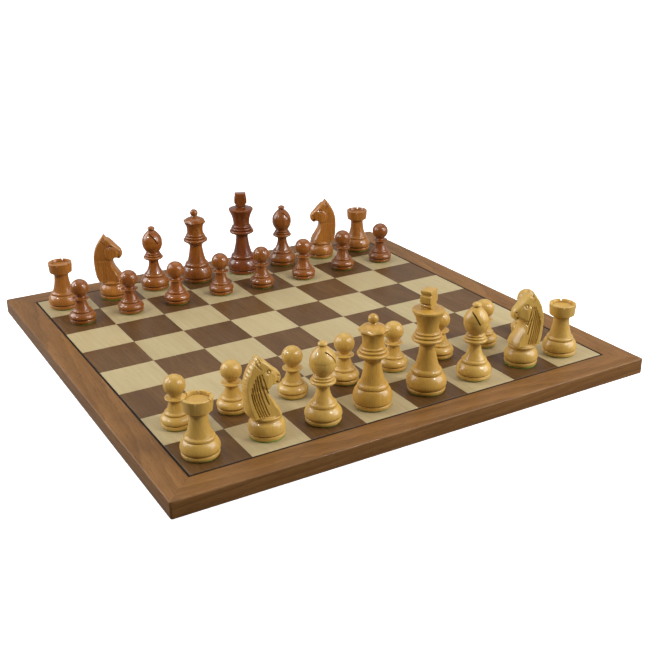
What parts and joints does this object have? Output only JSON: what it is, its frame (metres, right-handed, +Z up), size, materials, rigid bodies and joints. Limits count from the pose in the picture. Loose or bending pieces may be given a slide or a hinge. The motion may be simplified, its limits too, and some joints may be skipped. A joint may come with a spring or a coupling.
{
  "type": "chess_set_with_board",
  "caption": "Wooden chess set in its starting position on a flat walnut and maple board with a mitred walnut rail; turned boxwood and red-brown chessmen on green felt",
  "frame": {"origin": "the middle of the board's underside", "axes": "+Z up, +X from the a file to the h file, +Y from White's side of the board to Black's"},
  "size_m": [0.38, 0.38, 0.0873],
  "materials": {
    "walnut": "satin lacquer, grain along the rail",
    "core": "unfinished core board",
    "squares": "satin lacquered veneer squares, pale maple and dark walnut in turn",
    "stringing": "dyed dark veneer line",
    "boxwood": "gloss lacquered pale yellow turned wood",
    "sheesham": "gloss lacquered red-brown turned wood",
    "felt": "green wool felt"
  },
  "bodies": {
    "board": {"core_panel": "core", "backing_sheet": "walnut", "playing_field": "squares", "stringing": "stringing", "rail_front": "walnut", "rail_right": "walnut", "rail_back": "walnut", "rail_left": "walnut"},
    "white_rook_a_man": {"white_rook_a": "boxwood", "white_rook_a_felt": "felt"},
    "white_rook_h_man": {"white_rook_h": "boxwood", "white_rook_h_felt": "felt"},
    "white_knight_b_man": {"white_knight_b": "boxwood", "white_knight_b_felt": "felt", "white_knight_b_head": "boxwood"},
    "white_knight_g_man": {"white_knight_g": "boxwood", "white_knight_g_felt": "felt", "white_knight_g_head": "boxwood"},
    "white_bishop_c_man": {"white_bishop_c": "boxwood", "white_bishop_c_felt": "felt"},
    "white_bishop_f_man": {"white_bishop_f": "boxwood", "white_bishop_f_felt": "felt"},
    "white_queen_man": {"white_queen": "boxwood", "white_queen_felt": "felt"},
    "white_king_man": {"white_king": "boxwood", "white_king_felt": "felt"},
    "white_pawn_a_man": {"white_pawn_a": "boxwood"},
    "white_pawn_b_man": {"white_pawn_b": "boxwood"},
    "white_pawn_c_man": {"white_pawn_c": "boxwood"},
    "white_pawn_d_man": {"white_pawn_d": "boxwood"},
    "white_pawn_e_man": {"white_pawn_e": "boxwood"},
    "white_pawn_f_man": {"white_pawn_f": "boxwood"},
    "white_pawn_g_man": {"white_pawn_g": "boxwood"},
    "white_pawn_h_man": {"white_pawn_h": "boxwood"},
    "black_rook_a_man": {"black_rook_a": "sheesham", "black_rook_a_felt": "felt"},
    "black_rook_h_man": {"black_rook_h": "sheesham", "black_rook_h_felt": "felt"},
    "black_knight_b_man": {"black_knight_b": "sheesham", "black_knight_b_felt": "felt", "black_knight_b_head": "sheesham"},
    "black_knight_g_man": {"black_knight_g": "sheesham", "black_knight_g_felt": "felt", "black_knight_g_head": "sheesham"},
    "black_bishop_c_man": {"black_bishop_c": "sheesham", "black_bishop_c_felt": "felt"},
    "black_bishop_f_man": {"black_bishop_f": "sheesham", "black_bishop_f_felt": "felt"},
    "black_queen_man": {"black_queen": "sheesham", "black_queen_felt": "felt"},
    "black_king_man": {"black_king": "sheesham", "black_king_felt": "felt"},
    "black_pawn_a_man": {"black_pawn_a": "sheesham"},
    "black_pawn_b_man": {"black_pawn_b": "sheesham"},
    "black_pawn_c_man": {"black_pawn_c": "sheesham"},
    "black_pawn_d_man": {"black_pawn_d": "sheesham"},
    "black_pawn_e_man": {"black_pawn_e": "sheesham"},
    "black_pawn_f_man": {"black_pawn_f": "sheesham"},
    "black_pawn_g_man": {"black_pawn_g": "sheesham"},
    "black_pawn_h_man": {"black_pawn_h": "sheesham"}
  },
  "joints": [
    {"name": "white_rook_a_lift", "type": "slide", "parent": "board", "child": "white_rook_a_man", "axis": [0, 0, 1], "range_m": [0, 0.11]},
    {"name": "white_rook_h_lift", "type": "slide", "parent": "board", "child": "white_rook_h_man", "axis": [0, 0, 1], "range_m": [0, 0.11]},
    {"name": "white_knight_b_lift", "type": "slide", "parent": "board", "child": "white_knight_b_man", "axis": [0, 0, 1], "range_m": [0, 0.11]},
    {"name": "white_knight_g_lift", "type": "slide", "parent": "board", "child": "white_knight_g_man", "axis": [0, 0, 1], "range_m": [0, 0.11]},
    {"name": "white_bishop_c_lift", "type": "slide", "parent": "board", "child": "white_bishop_c_man", "axis": [0, 0, 1], "range_m": [0, 0.11]},
    {"name": "white_bishop_f_lift", "type": "slide", "parent": "board", "child": "white_bishop_f_man", "axis": [0, 0, 1], "range_m": [0, 0.11]},
    {"name": "white_queen_lift", "type": "slide", "parent": "board", "child": "white_queen_man", "axis": [0, 0, 1], "range_m": [0, 0.11]},
    {"name": "white_king_lift", "type": "slide", "parent": "board", "child": "white_king_man", "axis": [0, 0, 1], "range_m": [0, 0.11]},
    {"name": "white_pawn_a_lift", "type": "slide", "parent": "board", "child": "white_pawn_a_man", "axis": [0, 0, 1], "range_m": [0, 0.11]},
    {"name": "white_pawn_b_lift", "type": "slide", "parent": "board", "child": "white_pawn_b_man", "axis": [0, 0, 1], "range_m": [0, 0.11]},
    {"name": "white_pawn_c_lift", "type": "slide", "parent": "board", "child": "white_pawn_c_man", "axis": [0, 0, 1], "range_m": [0, 0.11]},
    {"name": "white_pawn_d_lift", "type": "slide", "parent": "board", "child": "white_pawn_d_man", "axis": [0, 0, 1], "range_m": [0, 0.11]},
    {"name": "white_pawn_e_lift", "type": "slide", "parent": "board", "child": "white_pawn_e_man", "axis": [0, 0, 1], "range_m": [0, 0.11]},
    {"name": "white_pawn_f_lift", "type": "slide", "parent": "board", "child": "white_pawn_f_man", "axis": [0, 0, 1], "range_m": [0, 0.11]},
    {"name": "white_pawn_g_lift", "type": "slide", "parent": "board", "child": "white_pawn_g_man", "axis": [0, 0, 1], "range_m": [0, 0.11]},
    {"name": "white_pawn_h_lift", "type": "slide", "parent": "board", "child": "white_pawn_h_man", "axis": [0, 0, 1], "range_m": [0, 0.11]},
    {"name": "black_rook_a_lift", "type": "slide", "parent": "board", "child": "black_rook_a_man", "axis": [0, 0, 1], "range_m": [0, 0.11]},
    {"name": "black_rook_h_lift", "type": "slide", "parent": "board", "child": "black_rook_h_man", "axis": [0, 0, 1], "range_m": [0, 0.11]},
    {"name": "black_knight_b_lift", "type": "slide", "parent": "board", "child": "black_knight_b_man", "axis": [0, 0, 1], "range_m": [0, 0.11]},
    {"name": "black_knight_g_lift", "type": "slide", "parent": "board", "child": "black_knight_g_man", "axis": [0, 0, 1], "range_m": [0, 0.11]},
    {"name": "black_bishop_c_lift", "type": "slide", "parent": "board", "child": "black_bishop_c_man", "axis": [0, 0, 1], "range_m": [0, 0.11]},
    {"name": "black_bishop_f_lift", "type": "slide", "parent": "board", "child": "black_bishop_f_man", "axis": [0, 0, 1], "range_m": [0, 0.11]},
    {"name": "black_queen_lift", "type": "slide", "parent": "board", "child": "black_queen_man", "axis": [0, 0, 1], "range_m": [0, 0.11]},
    {"name": "black_king_lift", "type": "slide", "parent": "board", "child": "black_king_man", "axis": [0, 0, 1], "range_m": [0, 0.11]},
    {"name": "black_pawn_a_lift", "type": "slide", "parent": "board", "child": "black_pawn_a_man", "axis": [0, 0, 1], "range_m": [0, 0.11]},
    {"name": "black_pawn_b_lift", "type": "slide", "parent": "board", "child": "black_pawn_b_man", "axis": [0, 0, 1], "range_m": [0, 0.11]},
    {"name": "black_pawn_c_lift", "type": "slide", "parent": "board", "child": "black_pawn_c_man", "axis": [0, 0, 1], "range_m": [0, 0.11]},
    {"name": "black_pawn_d_lift", "type": "slide", "parent": "board", "child": "black_pawn_d_man", "axis": [0, 0, 1], "range_m": [0, 0.11]},
    {"name": "black_pawn_e_lift", "type": "slide", "parent": "board", "child": "black_pawn_e_man", "axis": [0, 0, 1], "range_m": [0, 0.11]},
    {"name": "black_pawn_f_lift", "type": "slide", "parent": "board", "child": "black_pawn_f_man", "axis": [0, 0, 1], "range_m": [0, 0.11]},
    {"name": "black_pawn_g_lift", "type": "slide", "parent": "board", "child": "black_pawn_g_man", "axis": [0, 0, 1], "range_m": [0, 0.11]},
    {"name": "black_pawn_h_lift", "type": "slide", "parent": "board", "child": "black_pawn_h_man", "axis": [0, 0, 1], "range_m": [0, 0.11]}
  ]
}
